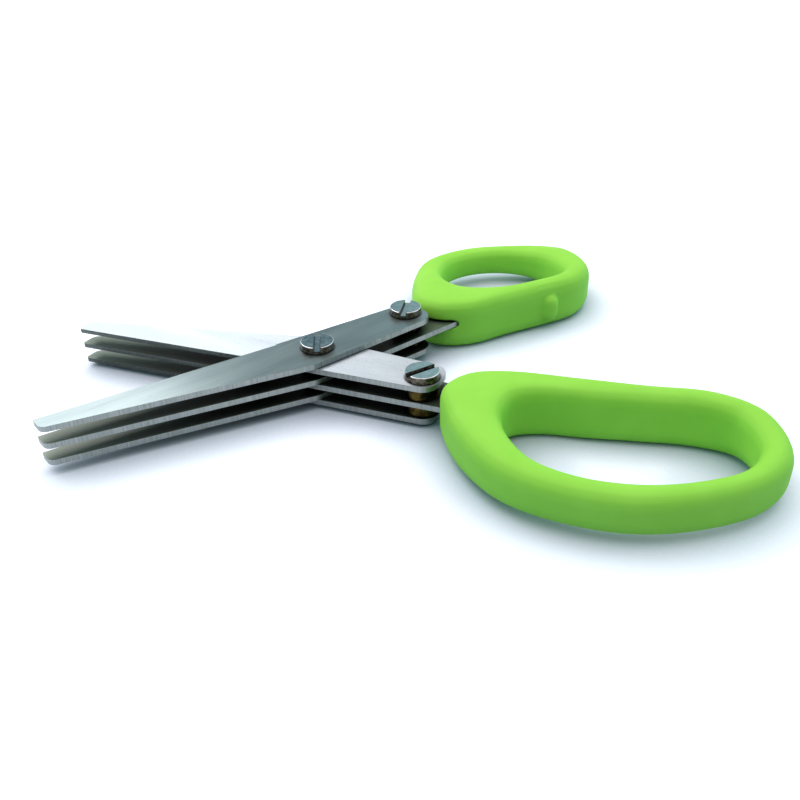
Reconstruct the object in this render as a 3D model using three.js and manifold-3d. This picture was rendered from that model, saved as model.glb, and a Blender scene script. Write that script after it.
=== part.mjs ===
// Herb scissors: two halves of three blades each, interleaved and turning on one screw.
// Millimetres, +Z up. The origin is on the pivot axis, on the surface that the scissors lie on.
// Each half is drawn along its own reach axis, from the pivot towards the blade tips, with
// its mating side, the one that faces the other half's handle, on the positive side.
import * as THREE from 'three';
import { mergeVertices } from 'three/addons/utils/BufferGeometryUtils.js';
import Module from 'manifold-3d';

const wasm = await Module();
wasm.setup();

// Angles of each half from the centre line
const restHalfAngle = THREE.MathUtils.degToRad(33.6);
const closedHalfAngle = THREE.MathUtils.degToRad(13.1);

// Blade stack
const bladeThickness = 1.5;
const layerPitch = 4.65;
const shearGap = 0.1;
const seatGap = 0.05;
const layerNames = ['bottom', 'middle', 'top'];
const spacerNames = ['lower', 'upper'];

// Blade outline
const tipReach = 69.6;
const clampReach = 30.7;
const rearMargin = 4.8;
const rearCornerRadius = 4.5;
const matingEdgeOffset = 7.2;
const spineCornerReach = 5.9;
const spineCornerRadius = 3;
const spineTipOffset = 11.2;
const spineTipRadius = 2.2;
const cutTipOffset = 16.25;
const cutTipRadius = 0.8;
const cutHeelOffset = 8.9;
const heelReach = 7.3;
const outerEdgeAtClamp = 5.2;
const tangReach = 50;
const tangCornerRadius = 2;

// Ground bevel along the cutting edge
const grindWidth = 0.4;
const edgeLand = 0.3;
const cutOverrun = 2;

// Screws, nuts and rings
const headRadius = 4.4;
const headHeight = 2;
const headRimRadius = 0.55;
const headUndercut = 0.15;
const slotWidth = 1.8;
const slotDepth = 1;
const stemRadius = 2;
const stemChamfer = 0.3;
const boreClearance = 0.3;
const nutRadius = 4;
const nutHeight = 1.3;
const nutFloor = 0.5;
const nutChamfer = 0.3;
const ringRadius = 4.6;
const ringChamfer = 0.25;
const pivotSlotAngle = THREE.MathUtils.degToRad(87.4);
const thumbSlotAngle = THREE.MathUtils.degToRad(72.5);
const fingerSlotAngle = THREE.MathUtils.degToRad(25.3);

// Handles
const handleHeight = 14.8;
const handleEdgeRadius = 3.7;
const largestRadiusShare = 0.48;
const handleFrontGap = 2.1;
const slotClearance = 0.3;
const slotSidePlay = 0.5;
const thumbWallRecess = 1;
const fingerWallRecess = 1.6;
const fingerLoopLength = 80.4;
const fingerOuterOffset = 29.5;
const thumbLoopLength = 69;
const thumbOuterOffset = 31;
const nubReach = 74.5;
const nubRadius = 2.6;
const nubHeight = 8.4;
const nubDrop = 0.6;
const nubClearance = 0.2;

const roundSides = 32;
const cornerSteps = 6;
const sectionCornerSteps = 3;
const stationSteps = 5;

// Stations round each loop, from the root's front over the mating side and back along the
// outer side. along: 0 at the root's front, 1 at the loop's far end. across: 0 on the line
// of the outermost point, 1 on the mating wall. height: share of the handle's height. sag: how
// far the section's middle hangs below the handle's, as a share of the same height.
const fingerLoop = {
  length: fingerLoopLength,
  outerOffset: fingerOuterOffset,
  wallRecess: fingerWallRecess,
  shares: [
    { outer: [0, 0.706], inner: [0.216, 0.556], height: 1 },
    { outer: [0.034, 0.905], inner: [0.224, 0.7], height: 1 },
    { outer: [0.142, 0.99], inner: [0.297, 0.781], height: 1 },
    { outer: [0.341, 1], inner: [0.434, 0.803], height: 1 },
    { outer: [0.552, 1], inner: [0.583, 0.834], height: 1 },
    { outer: [0.757, 1], inner: [0.72, 0.857], height: 0.99 },
    { outer: [0.907, 0.885], inner: [0.828, 0.816], height: 0.92 },
    { outer: [0.99, 0.61], inner: [0.9, 0.65], height: 0.82 },
    { outer: [0.95, 0.414], inner: [0.879, 0.456], height: 0.78 },
    { outer: [0.833, 0.227], inner: [0.779, 0.315], height: 0.76 },
    { outer: [0.67, 0.067], inner: [0.645, 0.211], height: 0.75 },
    { outer: [0.478, 0], inner: [0.5, 0.167], height: 0.75 },
    { outer: [0.297, 0.042], inner: [0.372, 0.203], height: 0.78 },
    { outer: [0.154, 0.227], inner: [0.282, 0.325], height: 0.86 },
    { outer: [0.051, 0.482], inner: [0.235, 0.442], height: 0.95 },
  ],
};
const thumbLoop = {
  length: thumbLoopLength,
  outerOffset: thumbOuterOffset,
  wallRecess: thumbWallRecess,
  shares: [
    { outer: [0.01, 0.69], inner: [0.258, 0.55], height: 1 },
    { outer: [0.035, 0.885], inner: [0.266, 0.66], height: 1 },
    { outer: [0.136, 0.992], inner: [0.31, 0.745], height: 1 },
    { outer: [0.325, 1], inner: [0.397, 0.815], height: 1 },
    { outer: [0.513, 1], inner: [0.52, 0.845], height: 1 },
    { outer: [0.687, 0.99], inner: [0.651, 0.84], height: 0.98 },
    { outer: [0.839, 0.868], inner: [0.757, 0.77], height: 0.94, sag: 0.025 },
    { outer: [0.955, 0.665], inner: [0.817, 0.635], height: 0.87, sag: 0.05 },
    { outer: [0.995, 0.48], inner: [0.832, 0.5], height: 0.79, sag: 0.05 },
    { outer: [0.945, 0.322], inner: [0.803, 0.382], height: 0.69, sag: 0.04 },
    { outer: [0.832, 0.182], inner: [0.73, 0.27], height: 0.64, sag: 0.025 },
    { outer: [0.695, 0.06], inner: [0.629, 0.192], height: 0.63, sag: 0.015 },
    { outer: [0.542, 0], inner: [0.52, 0.173], height: 0.63, sag: 0.01 },
    { outer: [0.383, 0.028], inner: [0.424, 0.212], height: 0.66 },
    { outer: [0.23, 0.205], inner: [0.336, 0.323], height: 0.78 },
    { outer: [0.093, 0.46], inner: [0.282, 0.443], height: 0.93 },
  ],
};

// Heights worked out from the stack, whose layers are counted from 0 at the bottom
const middleLayer = layerNames.indexOf('middle');
const topLayer = layerNames.indexOf('top');
const boreRadius = stemRadius + boreClearance;
const stackBase = nutHeight + seatGap;
const fingerBladeBase = (layer) => stackBase + layer * layerPitch;
const thumbBladeBase = (layer) => fingerBladeBase(layer) + bladeThickness + shearGap;
const handleCentre = handleHeight / 2;
const handleFrontReach = clampReach + rearMargin + handleFrontGap;

// The blade's outer edge behind the heel, as an offset from the reach axis
const outerEdgeTaper = (cutHeelOffset - outerEdgeAtClamp) / (heelReach + clampReach);
const outerEdgeOffset = (reach) => outerEdgeAtClamp + outerEdgeTaper * (reach + clampReach);

// Materials
const bladeSteel = new THREE.MeshStandardMaterial({ color: 0xaeb6b8, roughness: 0.34, metalness: 1 });
const screwSteel = new THREE.MeshStandardMaterial({ color: 0xc4c8ca, roughness: 0.18, metalness: 1 });
const ringBrass = new THREE.MeshStandardMaterial({ color: 0x6e5b2c, roughness: 0.45, metalness: 1 });
const limePlastic = new THREE.MeshStandardMaterial({ color: 0x84d63a, roughness: 0.45, metalness: 0 });

// Geometry to solid and back, for cuts and joins
function toSolid(geometry) {
  const bare = new THREE.BufferGeometry();
  bare.setAttribute('position', geometry.getAttribute('position').clone());
  bare.setIndex(geometry.index);
  const merged = mergeVertices(bare);
  const corners = merged.index.array;
  const kept = [];
  for (let i = 0; i < corners.length; i += 3) {
    const [a, b, c] = corners.slice(i, i + 3);
    if (a !== b && b !== c && c !== a) kept.push(a, b, c);
  }
  return new wasm.Manifold(new wasm.Mesh({
    numProp: 3,
    vertProperties: Float32Array.from(merged.getAttribute('position').array),
    triVerts: Uint32Array.from(kept),
  }));
}

function toGeometry(solid) {
  const mesh = solid.getMesh();
  const geometry = new THREE.BufferGeometry();
  geometry.setAttribute('position', new THREE.BufferAttribute(mesh.vertProperties, mesh.numProp));
  geometry.setIndex(new THREE.BufferAttribute(mesh.triVerts, 1));
  geometry.computeVertexNormals();
  return geometry;
}

// An outline whose corners are rounded by arcs. Each corner is { at: [x, y], radius }.
function roundedOutline(corners) {
  const points = [];
  corners.forEach(({ at, radius }, i) => {
    const corner = new THREE.Vector2(...at);
    if (radius === 0) {
      points.push(corner);
      return;
    }
    const before = new THREE.Vector2(...corners[(i + corners.length - 1) % corners.length].at);
    const after = new THREE.Vector2(...corners[(i + 1) % corners.length].at);
    const toBefore = before.sub(corner).normalize();
    const toAfter = after.sub(corner).normalize();
    const halfAngle = Math.acos(toBefore.dot(toAfter)) / 2;
    const bisector = toBefore.clone().add(toAfter).normalize();
    const centre = corner.clone().addScaledVector(bisector, radius / Math.sin(halfAngle));
    const start = corner.clone().addScaledVector(toBefore, radius / Math.tan(halfAngle)).sub(centre);
    const sweep = Math.sign(toAfter.cross(toBefore)) * (Math.PI - 2 * halfAngle);
    for (let step = 0; step <= cornerSteps; step++) {
      const turned = start.clone().rotateAround(new THREE.Vector2(), sweep * step / cornerSteps);
      points.push(turned.add(centre));
    }
  });
  return points;
}

function holePath(x, y, radius) {
  const path = new THREE.Path();
  for (let side = 0; side < roundSides; side++) {
    const angle = 2 * Math.PI * side / roundSides;
    const point = [x + radius * Math.cos(angle), y + radius * Math.sin(angle)];
    if (side === 0) path.moveTo(...point);
    else path.lineTo(...point);
  }
  path.closePath();
  return path;
}

// A blade with its flat face at height 0 and its bevel on top. The rear end is short and
// rounded, or runs on as the tang.
function bladeCorners(hasTang) {
  const rearReach = hasTang ? tangReach : clampReach + rearMargin;
  const rearRadius = hasTang ? tangCornerRadius : rearCornerRadius;
  return [
    { at: [-rearReach, matingEdgeOffset], radius: rearRadius },
    { at: [-rearReach, -outerEdgeOffset(-rearReach)], radius: rearRadius },
    { at: [heelReach, -cutHeelOffset], radius: 0 },
    { at: [tipReach, -cutTipOffset], radius: cutTipRadius },
    { at: [tipReach, -spineTipOffset], radius: spineTipRadius },
    { at: [spineCornerReach, matingEdgeOffset], radius: spineCornerRadius },
  ];
}

function bevelCutter() {
  const slope = (bladeThickness - edgeLand) / grindWidth;
  const wedge = new THREE.Shape([
    new THREE.Vector2(-cutOverrun, edgeLand - slope * cutOverrun),
    new THREE.Vector2(grindWidth + cutOverrun, bladeThickness + slope * cutOverrun),
    new THREE.Vector2(-cutOverrun, bladeThickness + slope * cutOverrun),
  ]);
  const heel = new THREE.Vector3(heelReach, -cutHeelOffset, 0);
  const tip = new THREE.Vector3(tipReach, -cutTipOffset, 0);
  const edgeLength = heel.distanceTo(tip);
  const alongEdge = tip.clone().sub(heel).normalize();
  const up = new THREE.Vector3(0, 0, 1);
  const inward = new THREE.Vector3().crossVectors(up, alongEdge);
  const depth = edgeLength + cutOverrun;
  const cutter = new THREE.ExtrudeGeometry(wedge, { depth, bevelEnabled: false });
  cutter.applyMatrix4(new THREE.Matrix4().makeBasis(inward, up, alongEdge).setPosition(heel));
  return toSolid(cutter);
}

function bladeGeometry(hasTang) {
  const shape = new THREE.Shape(roundedOutline(bladeCorners(hasTang)));
  shape.holes.push(holePath(0, 0, boreRadius), holePath(-clampReach, 0, boreRadius));
  const blank = new THREE.ExtrudeGeometry(shape, { depth: bladeThickness, bevelEnabled: false });
  return toGeometry(toSolid(blank).subtract(bevelCutter()));
}

// Turned pieces, each with its lower end at height 0
function turnedGeometry(profile, sides = roundSides) {
  return new THREE.LatheGeometry(profile.map(([r, z]) => new THREE.Vector2(r, z)), sides)
    .rotateX(Math.PI / 2);
}

function ringGeometry(height) {
  return toGeometry(toSolid(turnedGeometry([
    [boreRadius, 0],
    [ringRadius - ringChamfer, 0],
    [ringRadius, ringChamfer],
    [ringRadius, height - ringChamfer],
    [ringRadius - ringChamfer, height],
    [boreRadius, height],
    [boreRadius, 0],
  ])));
}

function nutGeometry() {
  return toGeometry(toSolid(turnedGeometry([
    [0, 0],
    [nutRadius - nutChamfer, 0],
    [nutRadius, nutChamfer],
    [nutRadius, nutHeight],
    [boreRadius, nutHeight],
    [boreRadius, nutFloor],
    [0, nutFloor],
  ])));
}

// A slotted screw with the underside of its head at height 0 and its stem below
function screwGeometry(stemLength, slotAngle) {
  const profile = [
    [0, -stemLength],
    [stemRadius - stemChamfer, -stemLength],
    [stemRadius, stemChamfer - stemLength],
    [stemRadius, 0],
    [headRadius - headUndercut, 0],
    [headRadius, headUndercut],
  ];
  for (let step = 0; step <= sectionCornerSteps; step++) {
    const angle = Math.PI / 2 * step / sectionCornerSteps;
    profile.push([
      headRadius - headRimRadius * (1 - Math.cos(angle)),
      headHeight - headRimRadius * (1 - Math.sin(angle)),
    ]);
  }
  profile.push([0, headHeight]);
  const slotLength = 2 * (headRadius + cutOverrun);
  const slot = new THREE.BoxGeometry(slotLength, slotWidth, slotDepth + cutOverrun);
  slot.translate(0, 0, headHeight - slotDepth + (slotDepth + cutOverrun) / 2);
  slot.rotateZ(slotAngle);
  return toGeometry(toSolid(turnedGeometry(profile)).subtract(toSolid(slot)));
}

// The mating wall of a loop is parallel to the centre line when the scissors are closed,
// and lies its recess behind that line.
const wallOffset = (loop, reach) =>
  (reach * Math.sin(closedHalfAngle) - loop.wallRecess) / Math.cos(closedHalfAngle);

function loopPoint(loop, [alongShare, acrossShare], halfHeight) {
  const reach = handleFrontReach + alongShare * loop.length;
  const offset = -loop.outerOffset + acrossShare * (wallOffset(loop, reach) + loop.outerOffset);
  return new THREE.Vector3(-reach, offset, halfHeight);
}

// A closed loop of rounded sections, whose middles lie on height 0 or hang below it by their
// sag. The rounding is limited by the section's own width and height.
function loopGeometry(loop) {
  const stationCount = loop.shares.length * stationSteps;
  const curve = (points) => new THREE.CatmullRomCurve3(points, true, 'centripetal');
  const outerCurve = curve(loop.shares.map((share) =>
    loopPoint(loop, share.outer, share.height * handleHeight / 2)));
  const innerCurve = curve(loop.shares.map(({ inner, sag = 0 }) =>
    loopPoint(loop, inner, -sag * handleHeight)));
  const positions = [];
  for (let station = 0; station < stationCount; station++) {
    const outer = outerCurve.getPoint(station / stationCount);
    const halfHeight = Math.min(outer.z, handleHeight / 2);
    outer.z = 0;
    const inner = innerCurve.getPoint(station / stationCount);
    const middle = inner.z;
    inner.z = 0;
    const across = inner.clone().sub(outer);
    const width = across.length();
    across.normalize();
    const radius = Math.min(handleEdgeRadius, largestRadiusShare * Math.min(width, 2 * halfHeight));
    const near = radius;
    const far = width - radius;
    const rise = halfHeight - radius;
    const arcs = [
      { x: near, z: -rise, from: Math.PI },
      { x: far, z: -rise, from: 3 * Math.PI / 2 },
      { x: far, z: rise, from: 0 },
      { x: near, z: rise, from: Math.PI / 2 },
    ];
    for (const { x, z, from } of arcs) {
      for (let step = 0; step <= sectionCornerSteps; step++) {
        const angle = from + Math.PI / 2 * step / sectionCornerSteps;
        const point = outer.clone().addScaledVector(across, x + radius * Math.cos(angle));
        positions.push(point.x, point.y, middle + z + radius * Math.sin(angle));
      }
    }
  }
  const sectionCount = positions.length / (3 * stationCount);
  const triangles = [];
  for (let station = 0; station < stationCount; station++) {
    const next = (station + 1) % stationCount;
    for (let point = 0; point < sectionCount; point++) {
      const a = station * sectionCount + point;
      const b = station * sectionCount + (point + 1) % sectionCount;
      const c = next * sectionCount + (point + 1) % sectionCount;
      const d = next * sectionCount + point;
      triangles.push(a, b, c, a, c, d);
    }
  }
  const geometry = new THREE.BufferGeometry();
  geometry.setAttribute('position', new THREE.Float32BufferAttribute(positions, 3));
  geometry.setIndex(triangles);
  return geometry;
}

// The cavity for the tang. tangCentre is the tang's middle height in the handle.
function tangCutter(tangCentre) {
  const height = bladeThickness + 2 * slotClearance;
  const rearReach = tangReach + slotClearance;
  const matingSide = matingEdgeOffset + slotSidePlay;
  const outline = roundedOutline([
    { at: [-rearReach, matingSide], radius: tangCornerRadius },
    { at: [-rearReach, -outerEdgeOffset(-rearReach) - slotClearance], radius: tangCornerRadius },
    { at: [-clampReach, -outerEdgeOffset(-clampReach) - slotClearance], radius: 0 },
    { at: [-clampReach, matingSide], radius: 0 },
  ]);
  const shape = new THREE.Shape(outline);
  const cutter = new THREE.ExtrudeGeometry(shape, { depth: height, bevelEnabled: false });
  return toSolid(cutter.translate(0, 0, tangCentre - height / 2));
}

// The stop on the thumb handle's mating wall, which meets the finger handle when closed
function nubSolid() {
  const protrusion = fingerWallRecess + thumbWallRecess - nubClearance;
  const shaft = nubHeight - 2 * nubRadius;
  const nub = new THREE.CapsuleGeometry(nubRadius, shaft, sectionCornerSteps, roundSides / 2);
  nub.rotateX(Math.PI / 2);
  const lead = protrusion - nubRadius;
  nub.translate(
    -nubReach + lead * Math.sin(closedHalfAngle),
    wallOffset(thumbLoop, nubReach) + lead * Math.cos(closedHalfAngle),
    -nubDrop,
  );
  return toSolid(nub);
}

function handleGeometry(loop, tangCentre, hasNub) {
  const body = toSolid(loopGeometry(loop));
  const whole = hasNub ? body.add(nubSolid()) : body;
  return toGeometry(whole.subtract(tangCutter(tangCentre)));
}

function placed(name, geometry, material, [x, y, z]) {
  const mesh = new THREE.Mesh(geometry, material);
  mesh.name = name;
  mesh.position.set(x, y, z);
  return mesh;
}

// The blades, rings, clamp screw and nut of one half. The finger half's blades are the same
// blades turned over about the reach axis, so that the flat faces meet.
function addStack(half, name, bladeBase, isTurned, slotAngle) {
  layerNames.forEach((layerName, layer) => {
    const blade = placed(
      `${name}_${layerName}_blade`,
      bladeGeometry(layer === middleLayer),
      bladeSteel,
      [0, 0, bladeBase(layer) + (isTurned ? bladeThickness : 0)],
    );
    blade.rotation.x = isTurned ? Math.PI : 0;
    half.add(blade);
  });
  const ringHeight = layerPitch - bladeThickness - 2 * seatGap;
  const ringBase = (layer) => bladeBase(layer) + bladeThickness + seatGap;
  addRings(half, name, -clampReach, ringHeight, ringBase);
  addScrewAndNut(half, `${name}_clamp`, -clampReach, bladeBase(0),
    bladeBase(topLayer) + bladeThickness, slotAngle);
}

// A ring on each layer but the top one
function addRings(parent, name, x, height, ringBase) {
  spacerNames.forEach((spacerName, layer) => {
    const position = [x, 0, ringBase(layer)];
    parent.add(placed(`${name}_${spacerName}_spacer`, ringGeometry(height), ringBrass, position));
  });
}

// A screw with its head on the stack's top and its nut under the stack's bottom
function addScrewAndNut(parent, name, x, stackBottom, stackTop, slotAngle) {
  const headBase = stackTop + seatGap;
  const nutBase = stackBottom - seatGap - nutHeight;
  const stemLength = headBase - (nutBase + nutFloor + seatGap);
  parent.add(
    placed(`${name}_screw`, screwGeometry(stemLength, slotAngle), screwSteel, [x, 0, headBase]),
    placed(`${name}_nut`, nutGeometry(), screwSteel, [x, 0, nutBase]),
  );
}

const thumbHalf = new THREE.Group();
const thumbTurn = Math.PI + restHalfAngle;
thumbHalf.rotation.z = thumbTurn;
addStack(thumbHalf, 'thumb', thumbBladeBase, false, thumbSlotAngle - thumbTurn);
const thumbTangCentre = thumbBladeBase(middleLayer) + bladeThickness / 2 - handleCentre;
thumbHalf.add(placed('thumb_handle', handleGeometry(thumbLoop, thumbTangCentre, true), limePlastic,
  [0, 0, handleCentre]));

const fingerHalf = new THREE.Group();
const fingerTurn = Math.PI - restHalfAngle;
fingerHalf.rotation.z = fingerTurn;
addStack(fingerHalf, 'finger', fingerBladeBase, true, fingerSlotAngle - fingerTurn);
const fingerTangCentre = handleCentre - (fingerBladeBase(middleLayer) + bladeThickness / 2);
const fingerHandle = placed('finger_handle', handleGeometry(fingerLoop, fingerTangCentre, false),
  limePlastic, [0, 0, handleCentre]);
fingerHandle.rotation.x = Math.PI;
fingerHalf.add(fingerHandle);

// The pivot screw, its nut, and the rings between the three pairs of blades
const pivot = new THREE.Group();
const pairHeight = 2 * bladeThickness + shearGap;
const pivotRingHeight = layerPitch - pairHeight - 2 * seatGap;
const pivotRingBase = (layer) => fingerBladeBase(layer) + pairHeight + seatGap;
addRings(pivot, 'pivot', 0, pivotRingHeight, pivotRingBase);
addScrewAndNut(pivot, 'pivot', 0, fingerBladeBase(0),
  thumbBladeBase(topLayer) + bladeThickness, pivotSlotAngle);

const scissors = new THREE.Group();
scissors.add(fingerHalf, thumbHalf, pivot);

export default scissors;
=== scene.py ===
import math

import bmesh
import bpy
from mathutils import Matrix, Vector


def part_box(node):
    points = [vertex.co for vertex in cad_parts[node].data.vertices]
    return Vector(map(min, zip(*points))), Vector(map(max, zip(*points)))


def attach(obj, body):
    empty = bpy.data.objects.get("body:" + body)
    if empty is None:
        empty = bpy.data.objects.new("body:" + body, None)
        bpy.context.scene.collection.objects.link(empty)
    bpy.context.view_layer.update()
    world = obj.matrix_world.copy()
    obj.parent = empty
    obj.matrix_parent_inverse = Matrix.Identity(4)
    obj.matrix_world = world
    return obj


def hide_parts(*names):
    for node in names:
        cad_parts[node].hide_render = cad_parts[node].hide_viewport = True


# Herb scissors lying open on a white table: three pairs of ground steel blades on one screw,
# and two moulded lime handles. Lengths in the dictionaries are millimetres.
mm = 0.001
touching = 0.001 * mm     # points this close are one point
sameFlat = math.radians(0.5)    # faces that turn less than this are one flat
nearlyAll = 0.99          # share of a length or of a normal that counts as the whole

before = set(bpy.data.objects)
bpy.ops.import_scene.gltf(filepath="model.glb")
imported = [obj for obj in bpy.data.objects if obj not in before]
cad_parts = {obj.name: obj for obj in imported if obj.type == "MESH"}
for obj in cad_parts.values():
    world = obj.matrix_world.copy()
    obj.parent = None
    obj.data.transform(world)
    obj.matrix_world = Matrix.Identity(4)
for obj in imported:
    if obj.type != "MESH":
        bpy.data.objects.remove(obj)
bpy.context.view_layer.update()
scene = bpy.context.scene
scene.view_settings.view_transform = "Standard"
print("frame loaded:", len(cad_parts), "nodes")


# The camera stands in front of the scissors and looks down on them
camera = {
    "position": (1.24, -193.15, 115.98),
    "turn": 6.01,     # degrees from +Y towards +X
    "tilt": 31.86,    # degrees below the horizon
    "roll": 1.43,
    "lens": 36.915,
    "sensor": 36.0,
    "nearest": 10,    # nothing closer than this shows
}


def addCamera():
    view = bpy.data.cameras.new("camera")
    view.lens = camera["lens"]
    view.sensor_width = camera["sensor"]
    view.clip_start = camera["nearest"] * mm
    eye = bpy.data.objects.new("camera", view)
    scene.collection.objects.link(eye)
    place = Matrix.Translation(Vector(camera["position"]) * mm)
    turned = Matrix.Rotation(math.radians(-camera["turn"]), 4, "Z")
    tilted = Matrix.Rotation(math.radians(90 - camera["tilt"]), 4, "X")
    rolled = Matrix.Rotation(math.radians(-camera["roll"]), 4, "Z")
    eye.matrix_world = place @ turned @ tilted @ rolled
    scene.camera = eye


addCamera()


# Colours and nodes
def linear(hexColour):
    channels = [int(hexColour[i:i + 2], 16) / 255 for i in (1, 3, 5)]
    return [c / 12.92 if c <= 0.04045 else ((c + 0.055) / 1.055) ** 2.4 for c in channels] + [1.0]


# fields are set on the node; inputs are set on its sockets, or linked where an output is given
def addNode(tree, kind, fields={}, inputs={}):
    node = tree.nodes.new("ShaderNode" + kind)
    for field, value in fields.items():
        setattr(node, field, value)
    for key, value in inputs.items():
        if isinstance(value, bpy.types.NodeSocket):
            tree.links.new(value, node.inputs[key])
        else:
            node.inputs[key].default_value = value
    return node


def newMaterial(name):
    material = bpy.data.materials.new(name)
    material.use_nodes = True
    material.node_tree.nodes.clear()
    return material, material.node_tree


# Uneven marks all over a surface. size is the length and width of one mark.
def addMarks(tree, coordinates, size, detail):
    length, width = size
    placed = addNode(tree, "Mapping", inputs={
        "Vector": coordinates,
        "Scale": (1 / (length * mm), 1 / (width * mm), 1 / (width * mm)),
    })
    return addNode(tree, "TexNoise", inputs={
        "Vector": placed.outputs["Vector"], "Scale": 1.0, "Detail": detail, "Roughness": 0.55,
    }).outputs[0]


# The finish's dark colour where marks are at the low end of the span, its light one at the high end
def markedColour(tree, marks, span, values):
    low, high = span
    share = addNode(tree, "MapRange", inputs={"Value": marks, "From Min": low, "From Max": high})
    return addNode(tree, "Mix", {"data_type": "RGBA"}, {
        "Factor": share.outputs["Result"], 6: linear(values["dark"]), 7: linear(values["light"]),
    }).outputs[2]


# Painted shade in corners and between parts, as a share: 1 where it is darkest, 0 where the surface
# lies open
# ambient occlusion turned into painted shade
def paintedCornerShade(tree, values):
    darkest, gone = values["shadeOpenness"]
    corners = addNode(tree, "AmbientOcclusion", {"samples": 8},
                      {"Distance": values["shadeReach"] * mm}).outputs["AO"]
    return addNode(tree, "MapRange", inputs={
        "Value": corners, "From Min": darkest, "From Max": gone, "To Min": 1, "To Max": 0,
    }).outputs["Result"]


# Where the values of one set of marks mostly lie: a narrow span for full contrast, and a wide one
markSpan = (0.35, 0.65)
wideSpan = (0.3, 0.7)


# Stainless blade steel, satin ground along the blade. The fine parallel grind lines stretch
# every highlight across the blade.
groundSteel = {
    "dark": "#98A5AD",
    "light": "#B8C4CA",
    "metallic": 1.0,
    "roughness": (0.30, 0.38),
    "lineSize": (12, 0.3),        # real grit lines are about 0.05 mm wide, too fine to show
    "cloudSize": (40, 7),
    "lineDepth": 0.0012,
    "speckSize": (0.5, 0.4),      # pits and dust marks
    "speckShare": 0.74,           # a higher value leaves fewer specks
    "speckFade": 0.03,
    "speckStrength": 0.8,
    "speckColour": "#70787A",
    "anisotropy": 0.55,
    "anisotropyTurn": 0.25,       # a quarter turn, because highlights stretch across the lines
    # painted shade round the heads, where the blades cross and between the plates
    "shadeReach": 0.8,
    "shadeOpenness": (0.45, 0.9),   # share of open space where the painted shade is darkest, and where it ends
    "shadeSpread": (30, 75),        # distances from the pivot between which the painted shade thins out
    "shadeAtTip": 1.0,              # to this share of it
    "shadeColour": "#15140F",
}


def makeGroundSteel(name, values):
    material, tree = newMaterial(name)
    reach = addNode(tree, "UVMap", {"uv_map": "reach"}).outputs["UV"]
    lines = addMarks(tree, reach, values["lineSize"], detail=3.0)
    clouds = addMarks(tree, reach, values["cloudSize"], detail=1.0)
    specks = addMarks(tree, reach, values["speckSize"], detail=1.0)
    mixed = addNode(tree, "Math", {"operation": "ADD"}, {0: lines, 1: clouds}).outputs[0]
    steel = markedColour(tree, mixed, [2 * limit for limit in markSpan], values)
    speckMask = addNode(tree, "MapRange", inputs={
        "Value": specks,
        "From Min": values["speckShare"],
        "From Max": values["speckShare"] + values["speckFade"],
        "To Max": values["speckStrength"],
    }).outputs["Result"]
    specked = addNode(tree, "Mix", {"data_type": "RGBA"}, {
        "Factor": speckMask, 6: steel, 7: linear(values["speckColour"]),
    }).outputs[2]
    along = addNode(tree, "SeparateXYZ", inputs={"Vector": reach}).outputs["X"]
    # painted shade in corners, thinning out from the pivot towards the tip
    shadeFadeAlong = addNode(tree, "MapRange", inputs={
        "Value": along,
        "From Min": values["shadeSpread"][0] * mm,
        "From Max": values["shadeSpread"][1] * mm,
        "To Min": 1,
        "To Max": values["shadeAtTip"],
    }).outputs["Result"]
    shadeShare = addNode(tree, "Math", {"operation": "MULTIPLY"}, {0: paintedCornerShade(tree, values), 1: shadeFadeAlong})
    colour = addNode(tree, "Mix", {"data_type": "RGBA"}, {
        "Factor": shadeShare.outputs[0], 6: specked, 7: linear(values["shadeColour"]),
    }).outputs[2]
    roughness = addNode(tree, "MapRange", inputs={
        "Value": lines, "From Min": wideSpan[0], "From Max": wideSpan[1],
        "To Min": values["roughness"][0], "To Max": values["roughness"][1],
    }).outputs["Result"]
    bump = addNode(tree, "Bump", inputs={"Height": lines, "Distance": values["lineDepth"] * mm})
    tangent = addNode(tree, "Tangent", {"direction_type": "UV_MAP", "uv_map": "reach"})
    surface = addNode(tree, "BsdfPrincipled", inputs={
        "Base Color": colour,
        "Metallic": values["metallic"],
        "Roughness": roughness,
        "Anisotropic": values["anisotropy"],
        "Anisotropic Rotation": values["anisotropyTurn"],
        "Normal": bump.outputs["Normal"],
        "Tangent": tangent.outputs["Tangent"],
    })
    addNode(tree, "OutputMaterial", inputs={"Surface": surface.outputs["BSDF"]})
    return material


# The blade's inner flat, rougher ground on a wide wheel so that it throws back the sky light, and
# painted brighter and bluer than the thumb's top blade as a painted reflection of that light
wheelGroundSteelLit = {
    **groundSteel,
    # brighter than the other top blade: a painted reflection
    "dark": "#C2CCD8",
    "light": "#DAE1EA",
    "roughness": (0.42, 0.52),
    "lineSize": (7, 0.3),
    "lineDepth": 0.005,
    "speckShare": 0.70,
    "anisotropy": 0.75,
}


# The lower blades: the same steel, painted darker all over as painted shade under the top
# blades, and darker still as painted shade deep between the plates, most of all round the pivot.
shadedLowerSteel = {
    **groundSteel,
    # the blade steel painted darker: painted shade
    "dark": "#8A918A",
    "light": "#989F97",
    "metallic": 0.65,
    "roughness": (0.32, 0.4),
    "shadeReach": 8,
    "shadeOpenness": (0.38, 0.9),
    "shadeAtTip": 0.35,
}


# The blade's underside, painted nearly black as painted shade in the gaps between the plates
shadedUnderside = {
    **groundSteel,
    # nearly black: painted shade
    "dark": "#2A2D2A",
    "light": "#3C403B",
    "roughness": (0.42, 0.5),
    "lineSize": (10, 0.8),
    "lineDepth": 0.002,
    "speckShare": 0.72,
    "speckColour": "#33362F",
    "anisotropy": 0.3,
}


# Sheared plate edge: matt grey, with the faint upright lines that shearing leaves
plateEdge = {
    "dark": "#828886",
    "light": "#989E9C",
    "roughness": 0.45,
    "lineSize": (0.35, 0.35),
}


# Honed cutting edge, darker than the rest of the edge
honedEdge = {
    "dark": "#454B47",
    "light": "#565D58",
    "roughness": 0.35,
    "lineSize": (0.6, 0.6),
}


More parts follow.
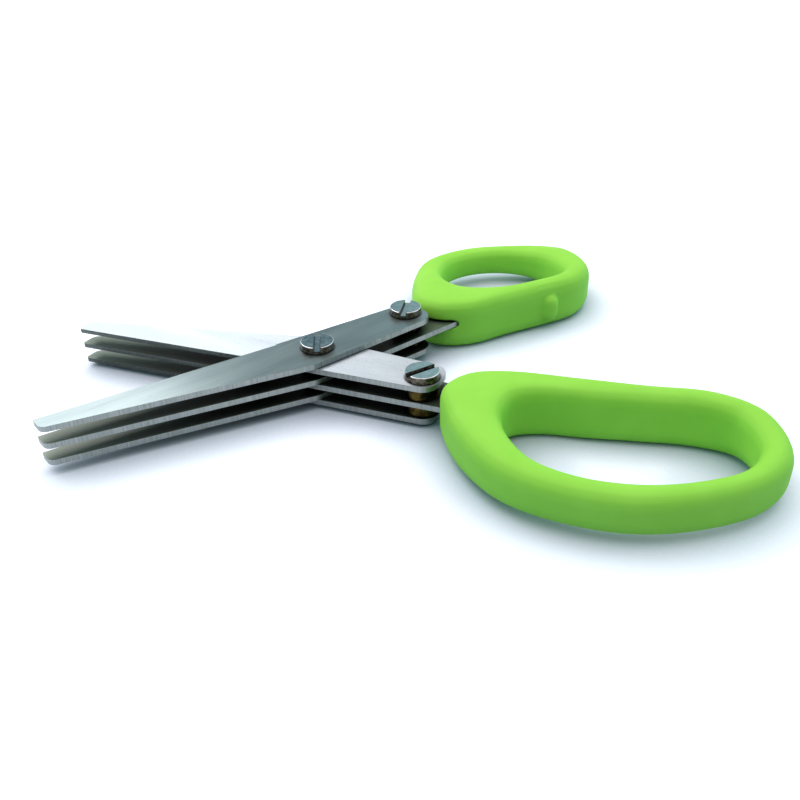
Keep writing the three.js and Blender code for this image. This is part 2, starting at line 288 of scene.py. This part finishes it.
def makeEdge(name, values):
    material, tree = newMaterial(name)
    reach = addNode(tree, "UVMap", {"uv_map": "reach"}).outputs["UV"]
    lines = addMarks(tree, reach, values["lineSize"], detail=2.0)
    surface = addNode(tree, "BsdfPrincipled", inputs={
        "Base Color": markedColour(tree, lines, markSpan, values),
        "Metallic": 1.0,
        "Roughness": values["roughness"],
    })
    addNode(tree, "OutputMaterial", inputs={"Surface": surface.outputs["BSDF"]})
    return material


# Bright nickel-plated screws, turned and polished, with a soft orange peel in the plating. Painted
# shade darkens the corners, round the foot of the head and along the slot's floor.
platedScrew = {
    "dark": "#C8CAD2",
    "light": "#E0E1E8",
    "roughness": (0.10, 0.2),
    "cloudSize": (1.6, 1.6),
    "peelDepth": 0.003,
    # painted shade in the corners
    "shadeReach": 0.7,
    "shadeOpenness": (0.45, 0.85),
    "shadeColour": "#23201C",
}


# The sides of the heads and the walls of their slots: brown with handling, and painted dark as
# painted shade in the slots and as a painted dark reflection on the sides
slotAndSideShade = {
    **platedScrew,
    "dark": "#2C2922",
    "light": "#6E685B",
    "roughness": (0.35, 0.5),
    "cloudSize": (0.8, 0.8),
}


def makePlating(name, values):
    material, tree = newMaterial(name)
    place = addNode(tree, "TexCoord").outputs["Object"]
    clouds = addMarks(tree, place, values["cloudSize"], detail=3.0)
    colour = addNode(tree, "Mix", {"data_type": "RGBA"}, {
        "Factor": paintedCornerShade(tree, values),
        6: markedColour(tree, clouds, markSpan, values),
        7: linear(values["shadeColour"]),
    }).outputs[2]
    roughness = addNode(tree, "MapRange", inputs={
        "Value": clouds, "From Min": markSpan[0], "From Max": markSpan[1],
        "To Min": values["roughness"][0], "To Max": values["roughness"][1],
    }).outputs["Result"]
    bump = addNode(tree, "Bump", inputs={"Height": clouds, "Distance": values["peelDepth"] * mm})
    surface = addNode(tree, "BsdfPrincipled", inputs={
        "Base Color": colour,
        "Metallic": 1.0,
        "Roughness": roughness,
        "Normal": bump.outputs["Normal"],
    })
    addNode(tree, "OutputMaterial", inputs={"Surface": surface.outputs["BSDF"]})
    return material


# Turned brass spacers, gone brown with handling, and painted nearly black as painted shade between
# the plates
agedBrassInShade = {
    "dark": "#141009",
    "light": "#54481F",
    "colourSpan": (0.38, 0.62),
    "roughness": (0.2, 0.3),
    "cloudSize": (2.5, 2.5),
}


def makeAgedBrassInShade():
    material, tree = newMaterial("agedTurnedBrassInShade")
    place = addNode(tree, "TexCoord").outputs["Object"]
    clouds = addMarks(tree, place, agedBrassInShade["cloudSize"], detail=4.0)
    roughness = addNode(tree, "MapRange", inputs={
        "Value": clouds, "From Min": markSpan[0], "From Max": markSpan[1],
        "To Min": agedBrassInShade["roughness"][0], "To Max": agedBrassInShade["roughness"][1],
    }).outputs["Result"]
    surface = addNode(tree, "BsdfPrincipled", inputs={
        "Base Color": markedColour(tree, clouds, agedBrassInShade["colourSpan"], agedBrassInShade),
        "Metallic": 1.0,
        "Roughness": roughness,
    })
    addNode(tree, "OutputMaterial", inputs={"Surface": surface.outputs["BSDF"]})
    return material


# Lime ABS, injection moulded in a spark-eroded tool: a fine satin grain and soft highlights
mouldedAbs = {
    "dark": "#A3E34F",
    "light": "#ABE956",
    "roughness": (0.62, 0.7),
    "ior": 1.53,
    "shine": 0.3,
    "cloudSize": (14, 14),
    "grainSize": (0.4, 0.4),      # the real grain is about 0.1 mm, too fine to show
    "grainDepth": 0.004,
}


def makeMouldedAbs():
    material, tree = newMaterial("mouldedLimeAbs")
    place = addNode(tree, "TexCoord").outputs["Object"]
    clouds = addMarks(tree, place, mouldedAbs["cloudSize"], detail=2.0)
    grain = addMarks(tree, place, mouldedAbs["grainSize"], detail=2.0)
    roughness = addNode(tree, "MapRange", inputs={
        "Value": grain, "From Min": wideSpan[0], "From Max": wideSpan[1],
        "To Min": mouldedAbs["roughness"][0], "To Max": mouldedAbs["roughness"][1],
    }).outputs["Result"]
    bump = addNode(tree, "Bump", inputs={
        "Height": grain, "Distance": mouldedAbs["grainDepth"] * mm,
    })
    surface = addNode(tree, "BsdfPrincipled", inputs={
        "Base Color": markedColour(tree, clouds, markSpan, mouldedAbs),
        "Roughness": roughness,
        "IOR": mouldedAbs["ior"],
        "Specular IOR Level": mouldedAbs["shine"],
        "Normal": bump.outputs["Normal"],
    })
    addNode(tree, "OutputMaterial", inputs={"Surface": surface.outputs["BSDF"]})
    return material


steelFlat = makeGroundSteel("satinGroundSteel", groundSteel)
steelInnerLit = makeGroundSteel("wheelGroundSteelLit", wheelGroundSteelLit)
steelLowerShaded = makeGroundSteel("shadedLowerBladeSteel", shadedLowerSteel)
steelUndersideShaded = makeGroundSteel("shadedSteelUnderside", shadedUnderside)
steelEdge = makeEdge("shearedSteelEdge", plateEdge)
cuttingEdge = makeEdge("honedSteelEdge", honedEdge)
screwPlating = makePlating("nickelPlatedScrew", platedScrew)
slotAndSideShadeMaterial = makePlating("shadedSlotWallsAndSides", slotAndSideShade)
brass = makeAgedBrassInShade()
limeAbs = makeMouldedAbs()
print("materials made")


# Pieces
def bodyOf(node):
    return "thumb_half" if node.startswith("thumb") else "finger_half"


def centreOf(node):
    low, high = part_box(node)
    return (low + high) / 2


# A CAD node's mesh with its loose triangles joined up and its flats made whole
def joinedUp(node):
    shape = bmesh.new()
    shape.from_mesh(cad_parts[node].data)
    bmesh.ops.remove_doubles(shape, verts=shape.verts, dist=touching)
    bmesh.ops.dissolve_limit(shape, angle_limit=sameFlat, verts=shape.verts, edges=shape.edges)
    return shape


def roundOff(shape, edges, offset, steps):
    bmesh.ops.bevel(shape, geom=edges, affect="EDGES", offset=offset * mm, segments=steps,
                    profile=0.5, material=-1, clamp_overlap=True)


# the edges where two faces meet at more than an angle in degrees
def foldsOf(shape, angle):
    return [e for e in shape.edges if len(e.link_faces) == 2
            and e.calc_face_angle() > math.radians(angle)]


# Turns a finished shape into the piece that stands for a node
def addPiece(shape, name, node, materials):
    mesh = bpy.data.meshes.new(name)
    shape.to_mesh(mesh)
    shape.free()
    if "custom_normal" in mesh.attributes:
        mesh.attributes.remove(mesh.attributes["custom_normal"])
    for material in materials:
        mesh.materials.append(material)
    piece = bpy.data.objects.new(name, mesh)
    scene.collection.objects.link(piece)
    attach(piece, bodyOf(node))
    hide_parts(node)
    return piece


def keepFlatsFlat(piece):
    weighted = piece.modifiers.new("flats", "WEIGHTED_NORMAL")
    weighted.mode = "FACE_AREA"
    weighted.keep_sharp = True


# Blades
blade = {
    "edgeRounding": 0.1,
    "roundingSteps": 2,
    "cornerAngle": 25,        # degrees; a sharper fold than this is an edge to round
    "honedFrom": 12,          # the cutting edge begins this far from the pivot
    "honedFacing": 0.5,       # how squarely a honed face looks towards the partner half
    "honedSide": {"thumb": -1, "finger": 1},
}


def addBlade(half, layer):
    node = f"{half}_{layer}_blade"
    shape = joinedUp(node)
    roundOff(shape, foldsOf(shape, blade["cornerAngle"]), blade["edgeRounding"],
             blade["roundingSteps"])
    clamp = centreOf(f"{half}_clamp_screw")
    along = -Vector((clamp.x, clamp.y, 0)).normalized()
    across = Vector((0, 0, 1)).cross(along)
    uv = shape.loops.layers.uv.new("reach")
    upper, edge, underside, honed = range(4)    # the order of the materials below
    for face in shape.faces:
        face.smooth = True
        face.material_index = edge
        if face.normal.z > nearlyAll:
            face.material_index = upper
        if face.normal.z < -nearlyAll:
            face.material_index = underside
        facing = face.normal.dot(across) * blade["honedSide"][half]
        reach = face.calc_center_median().dot(along)
        if facing > blade["honedFacing"] and reach > blade["honedFrom"] * mm:
            face.material_index = honed
        for loop in face.loops:
            loop[uv].uv = (loop.vert.co.dot(along), loop.vert.co.dot(across))
    upperSteel = steelLowerShaded
    if layer == "top":
        upperSteel = steelFlat if half == "thumb" else steelInnerLit
    piece = addPiece(shape, f"{half}Blade_{layer}", node,
                     [upperSteel, steelEdge, steelUndersideShaded, cuttingEdge])
    keepFlatsFlat(piece)


for half in ("thumb", "finger"):
    for layer in ("bottom", "middle", "top"):
        addBlade(half, layer)
print("blades made")


# Screws
screw = {
    "sides": 96,
    "headHeight": 2.0,
    "rimRounding": 0.25,
    "rimSteps": 5,
    "slotWidth": 1.8,
    "slotDepth": 1.0,
    "slotTurn": {"pivot": 87.4, "thumb_clamp": 72.5, "finger_clamp": 25.3},   # degrees
    "lipRounding": 0.15,
    "lipSteps": 2,
    "stemRadius": 2.0,
    "wallSlope": 0.95,        # z part of the normal, at most, of the slot's walls and lips
    "sideSlope": 0.3,         # and of the head's side,
    "sideFrom": 0.9,          # which lies beyond this share of the radius
    "sharpAngle": 40,         # degrees; a fold above this stays crisp in the shading
}


# Extrudes faces straight up or down and gives back the moved faces. The old faces stay only where
# the region stands alone, as the far side of a slab.
def pullFaces(shape, faces, rise):
    edges = list({e for f in faces for e in f.edges})
    moved = bmesh.ops.extrude_face_region(shape, geom=faces + edges)["geom"]
    bmesh.ops.translate(shape, verts=[v for v in moved if isinstance(v, bmesh.types.BMVert)],
                        vec=(0, 0, rise))
    return [f for f in moved if isinstance(f, bmesh.types.BMFace)]


def addScrew(place):
    node = f"{place}_screw"
    low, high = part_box(node)
    radius = (high.x - low.x) / 2
    length = high.z - low.z
    headHeight, slotDepth = screw["headHeight"] * mm, screw["slotDepth"] * mm
    slotHalf, lip = screw["slotWidth"] * mm / 2, screw["lipRounding"] * mm
    shape = bmesh.new()
    # a disc at the slot's floor, cut along the slot's two sides
    bmesh.ops.create_circle(shape, cap_ends=True, segments=screw["sides"], radius=radius)
    for side in (-1, 1):
        bmesh.ops.bisect_plane(shape, geom=shape.verts[:] + shape.edges[:] + shape.faces[:],
                               plane_co=(0, side * slotHalf, 0), plane_no=(0, 1, 0))
    # the head's lower part, the two cheeks beside the slot, then the stem
    underside = pullFaces(shape, shape.faces[:], slotDepth - headHeight)
    middles = {f: f.calc_center_median() for f in shape.faces}
    cheeks = [f for f in shape.faces
              if abs(middles[f].z) < touching and abs(middles[f].y) > slotHalf]
    pullFaces(shape, cheeks, slotDepth)
    underside = bmesh.ops.dissolve_faces(shape, faces=underside)["region"]
    bmesh.ops.inset_region(shape, faces=underside, thickness=radius - screw["stemRadius"] * mm,
                           use_even_offset=True)
    pullFaces(shape, underside, headHeight - length)
    bmesh.ops.recalc_face_normals(shape, faces=shape.faces)

    # the rounded rim, then the slot's lips
    def isOnTop(vert):
        return vert.co.z > slotDepth * nearlyAll

    def isAtSlot(vert):
        return abs(abs(vert.co.y) - slotHalf) < touching

    rim = [e for e in shape.edges
           if all(isOnTop(v) and v.co.xy.length > radius * nearlyAll for v in e.verts)
           and not all(isAtSlot(v) for v in e.verts)]
    roundOff(shape, rim, screw["rimRounding"], screw["rimSteps"])
    lips = [e for e in shape.edges if all(isOnTop(v) and isAtSlot(v) for v in e.verts)]
    roundOff(shape, lips, screw["lipRounding"], screw["lipSteps"])
    for face in shape.faces:
        face.smooth = True
        middle, slope = face.calc_center_median(), abs(face.normal.z)
        isWall = slope < screw["wallSlope"] and abs(middle.y) < slotHalf + lip and middle.z > 0
        isSide = slope < screw["sideSlope"] and middle.xy.length > radius * screw["sideFrom"]
        # the slot's walls and the head's side take the painted shade and painted dark reflection
        face.material_index = 1 if isWall or isSide else 0
    centre = centreOf(node)
    turn = Matrix.Rotation(math.radians(screw["slotTurn"][place]), 3, "Z")
    bmesh.ops.rotate(shape, verts=shape.verts, matrix=turn)
    bmesh.ops.translate(shape, verts=shape.verts, vec=(centre.x, centre.y, high.z - slotDepth))
    piece = addPiece(shape, f"{place}Screw", node, [screwPlating, slotAndSideShadeMaterial])
    piece.data.set_sharp_from_angle(angle=math.radians(screw["sharpAngle"]))
    keepFlatsFlat(piece)


# Turned pieces: a closed profile of (radius, height) corners spun round the piece's own axis
turned = {
    "sides": 96,
    "boreRadius": 2.3,
    "nutFloor": 0.5,
    "ringRounding": 0.25,
    "nutRounding": 0.15,
    "roundingSteps": 3,
    "cornerAngle": 45,        # degrees; a sharper fold than this is rounded
}


def spinProfile(corners, rounding):
    shape = bmesh.new()
    points = [shape.verts.new((r, 0, z)) for r, z in corners]
    for start, end in zip(points, points[1:] + points[:1]):
        if start.co.x > 0 or end.co.x > 0:
            shape.edges.new((start, end))
    bmesh.ops.spin(shape, geom=shape.verts[:] + shape.edges[:], axis=(0, 0, 1), cent=(0, 0, 0),
                   angle=math.tau, steps=turned["sides"], use_merge=True)
    bmesh.ops.remove_doubles(shape, verts=shape.verts, dist=touching)
    bmesh.ops.recalc_face_normals(shape, faces=shape.faces)
    roundOff(shape, foldsOf(shape, turned["cornerAngle"]), rounding, turned["roundingSteps"])
    for face in shape.faces:
        face.smooth = True
    return shape


def placeTurned(shape, node, name, material):
    centre = centreOf(node)
    bmesh.ops.translate(shape, verts=shape.verts, vec=(centre.x, centre.y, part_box(node)[0].z))
    piece = addPiece(shape, name, node, [material])
    keepFlatsFlat(piece)


def addRing(place, level):
    node = f"{place}_{level}_spacer"
    low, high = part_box(node)
    bore, outer, height = turned["boreRadius"] * mm, (high.x - low.x) / 2, high.z - low.z
    corners = [(bore, 0), (outer, 0), (outer, height), (bore, height)]
    shape = spinProfile(corners, turned["ringRounding"])
    placeTurned(shape, node, f"{place}Ring_{level}", brass)


def addNut(place):
    node = f"{place}_nut"
    low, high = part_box(node)
    bore, outer, height = turned["boreRadius"] * mm, (high.x - low.x) / 2, high.z - low.z
    floor = turned["nutFloor"] * mm
    corners = [(0, 0), (outer, 0), (outer, height), (bore, height), (bore, floor), (0, floor)]
    shape = spinProfile(corners, turned["nutRounding"])
    placeTurned(shape, node, f"{place}Nut", screwPlating)


for place in ("thumb_clamp", "finger_clamp", "pivot"):
    addScrew(place)
    addNut(place)
for place in ("thumb", "finger", "pivot"):
    for level in ("lower", "upper"):
        addRing(place, level)
print("screws, nuts and rings made")


# Handles: the CAD loop made even and smooth, with the stop nub and the tang's slot kept
handle = {
    "voxel": 0.4,
    "softening": 16,          # passes over the loop
    "lastSoftening": 1,       # passes over everything
    "softeningFactor": 0.5,
    "nub": (74.5, 16.1),      # how far behind the pivot it stands, and how far to the side
    "nubKept": 3.6,           # distance from the nub's middle that stays crisp
    "nubFade": 2.0,
}


def evenedOut(mesh):
    rough = bpy.data.objects.new("rough", mesh)
    scene.collection.objects.link(rough)
    even = rough.modifiers.new("even", "REMESH")
    even.mode = "VOXEL"
    even.voxel_size = handle["voxel"] * mm
    graph = bpy.context.evaluated_depsgraph_get()
    shape = bmesh.new()
    shape.from_mesh(rough.evaluated_get(graph).data)
    bpy.data.objects.remove(rough)
    for face in shape.faces:
        face.smooth = True
    return shape


def nubPlace():
    clamp = centreOf("thumb_clamp_screw")
    away = Vector((clamp.x, clamp.y)).normalized()
    across = Vector((away.y, -away.x))
    return (away * handle["nub"][0] + across * handle["nub"][1]) * mm


def addHandle(half):
    node = f"{half}_handle"
    merged = joinedUp(node)
    mesh = bpy.data.meshes.new("rough")
    merged.to_mesh(mesh)
    merged.free()
    piece = addPiece(evenedOut(mesh), f"{half}Handle", node, [limeAbs])
    nub = nubPlace()
    soft = piece.vertex_groups.new(name="softened")
    for vertex in piece.data.vertices:
        share = 1.0
        if half == "thumb":
            distance = (vertex.co.xy - nub).length / mm
            share = min(max((distance - handle["nubKept"]) / handle["nubFade"], 0), 1)
        soft.add([vertex.index], share, "REPLACE")
    loop = piece.modifiers.new("soften the loop", "SMOOTH")
    loop.vertex_group = "softened"
    loop.factor = handle["softeningFactor"]
    loop.iterations = handle["softening"]
    whole = piece.modifiers.new("soften all", "SMOOTH")
    whole.factor = handle["softeningFactor"]
    whole.iterations = handle["lastSoftening"]


for half in ("thumb", "finger"):
    addHandle(half)
print("handles made")


# Table: pale blue-grey card, lifted to white where the camera or a reflection sees it. The lift
# fades out in the corners under the scissors, which paints a shadow there over their real one.
table = {
    "size": 4000,
    "colour": "#AEBCD6",
    "liftColour": "#FFF8FD",
    "paintedShadowReach": 20,
    "paintedShadowDepth": 2.4,       # a higher power darkens the painted shadow more
}


def addTable():
    shape = bmesh.new()
    bmesh.ops.create_grid(shape, x_segments=1, y_segments=1, size=table["size"] * mm / 2)
    mesh = bpy.data.meshes.new("table")
    shape.to_mesh(mesh)
    shape.free()
    material, tree = newMaterial("whiteTable")
    rays = addNode(tree, "LightPath").outputs
    seen = addNode(tree, "Math", {"operation": "MAXIMUM"},
                   {0: rays["Is Camera Ray"], 1: rays["Is Glossy Ray"]}).outputs[0]
    seen = addNode(tree, "Math", {"operation": "MAXIMUM"},
                   {0: seen, 1: rays["Is Transmission Ray"]}).outputs[0]
    # painted shadow: the lift fades where the scissors crowd the table
    corners = addNode(tree, "AmbientOcclusion", {"samples": 8},
                      {"Distance": table["paintedShadowReach"] * mm}).outputs["AO"]
    liftOutsidePaintedShadow = addNode(tree, "Math", {"operation": "POWER"},
                   {0: corners, 1: table["paintedShadowDepth"]}).outputs[0]
    strength = addNode(tree, "Math", {"operation": "MULTIPLY"}, {0: seen, 1: liftOutsidePaintedShadow}).outputs[0]
    glow = addNode(tree, "Emission",
                   inputs={"Color": linear(table["liftColour"]), "Strength": strength})
    card = addNode(tree, "BsdfDiffuse", inputs={"Color": linear(table["colour"])})
    both = addNode(tree, "AddShader", inputs={0: card.outputs["BSDF"], 1: glow.outputs["Emission"]})
    addNode(tree, "OutputMaterial", inputs={"Surface": both.outputs["Shader"]})
    mesh.materials.append(material)
    floor = bpy.data.objects.new("table", mesh)
    scene.collection.objects.link(floor)


# Studio: one soft box on the left behind the scissors, and a dim room with wide pale panels
# overhead and at the sides. Turns are degrees from +Y towards +X, heights are above the horizon.
softBox = {
    "turn": -38,
    "height": 48,
    "distance": 480,
    "size": (300, 300),
    "power": 0.82,
    "colour": "#FFFAF4",
    "target": (10, 0, 5),
}

# A panel is at full strength up to its inner angle, and fades out to its outer angle. The two
# at the sides tint the handles, and metal mirrors them as near white. The backdrop is what the
# camera sees past the table, and what metal mirrors up to the backdrop's height.
room = {
    "base": 0.02,
    "baseColour": "#C8E4EC",
    "backdropColour": "#FFFFFF",
    "backdropHeight": 12,
    "backdropFade": 4,
    "panels": [
        {"turn": 0, "height": 90, "inner": 15, "outer": 50, "strength": 1.4, "colour": "#FFF0E9"},
        {"turn": -90, "height": 25, "inner": 20, "outer": 60, "strength": 0.7,
         "colour": "#A0F6E4", "mirrored": "#DAE6EC"},
        {"turn": 75, "height": 25, "inner": 20, "outer": 50, "strength": 1.35,
         "colour": "#A0F6DC", "mirrored": "#DAE6EC"},
        {"turn": -25, "height": 32, "inner": 6, "outer": 22, "strength": 0.52, "colour": "#D0FFFC"},
        {"turn": 2, "height": 28, "inner": 5, "outer": 16, "strength": 0.22, "colour": "#C1F5FF"},
        {"turn": 24, "height": 30, "inner": 6, "outer": 22, "strength": 0.43, "colour": "#D3FFF5"},
        {"turn": 180, "height": 30, "inner": 20, "outer": 70, "strength": 0.22,
         "colour": "#BAE4F0"},
    ],
}


# a direction of length 1
def towards(turn, height):
    turn, height = math.radians(turn), math.radians(height)
    level = math.cos(height)
    return Vector((math.sin(turn) * level, math.cos(turn) * level, math.sin(height)))


def addSoftBox():
    lamp = bpy.data.lights.new("softBox", "AREA")
    lamp.shape = "RECTANGLE"
    lamp.size, lamp.size_y = (side * mm for side in softBox["size"])
    lamp.energy = softBox["power"]
    lamp.color = linear(softBox["colour"])[:3]
    away = towards(softBox["turn"], softBox["height"])
    light = bpy.data.objects.new("softBox", lamp)
    scene.collection.objects.link(light)
    place = (Vector(softBox["target"]) + away * softBox["distance"]) * mm
    turn = away.to_track_quat("Z", "Y").to_matrix().to_4x4()
    light.matrix_world = Matrix.Translation(place) @ turn


def addRoom():
    world = bpy.data.worlds.new("room")
    world.use_nodes = True
    tree = world.node_tree
    tree.nodes.clear()
    rays = addNode(tree, "LightPath").outputs
    way = addNode(tree, "TexCoord").outputs["Generated"]
    whole = [channel * room["base"] for channel in linear(room["baseColour"])[:3]]
    for panel in room["panels"]:
        nearness = addNode(tree, "VectorMath", {"operation": "DOT_PRODUCT"},
                           {0: way, 1: towards(panel["turn"], panel["height"])}).outputs["Value"]
        amount = addNode(tree, "MapRange", {"interpolation_type": "SMOOTHSTEP"}, {
            "Value": nearness,
            "From Min": math.cos(math.radians(panel["outer"])),
            "From Max": math.cos(math.radians(panel["inner"])),
            "To Max": panel["strength"],
        }).outputs["Result"]
        colour = linear(panel["colour"])[:3]
        if "mirrored" in panel:
            colour = addNode(tree, "Mix", {"data_type": "RGBA"}, {
                "Factor": rays["Is Glossy Ray"],
                6: linear(panel["colour"]),
                7: linear(panel["mirrored"]),
            }).outputs[2]
        part = addNode(tree, "VectorMath", {"operation": "SCALE"}, {0: colour, "Scale": amount})
        whole = addNode(tree, "VectorMath", {"operation": "ADD"},
                        {0: whole, 1: part.outputs["Vector"]}).outputs["Vector"]
    mirrored = addNode(tree, "Math", {"operation": "MAXIMUM"},
                       {0: rays["Is Glossy Ray"], 1: rays["Is Transmission Ray"]}).outputs[0]
    top = room["backdropHeight"]
    low = addNode(tree, "MapRange", inputs={
        "Value": addNode(tree, "SeparateXYZ", inputs={"Vector": way}).outputs["Z"],
        "From Min": math.sin(math.radians(top + room["backdropFade"])),
        "From Max": math.sin(math.radians(top)),
    }).outputs["Result"]
    mirrored = addNode(tree, "Math", {"operation": "MULTIPLY"}, {0: mirrored, 1: low}).outputs[0]
    seen = addNode(tree, "Math", {"operation": "MAXIMUM"},
                   {0: rays["Is Camera Ray"], 1: mirrored}).outputs[0]
    whole = addNode(tree, "Mix", {"data_type": "RGBA"}, {
        "Factor": seen, 6: whole, 7: linear(room["backdropColour"]),
    }).outputs[2]
    light = addNode(tree, "Background", inputs={"Color": whole, "Strength": 1.0})
    addNode(tree, "OutputWorld", inputs={"Surface": light.outputs["Background"]})
    scene.world = world


addTable()
addSoftBox()
addRoom()
print("studio made")
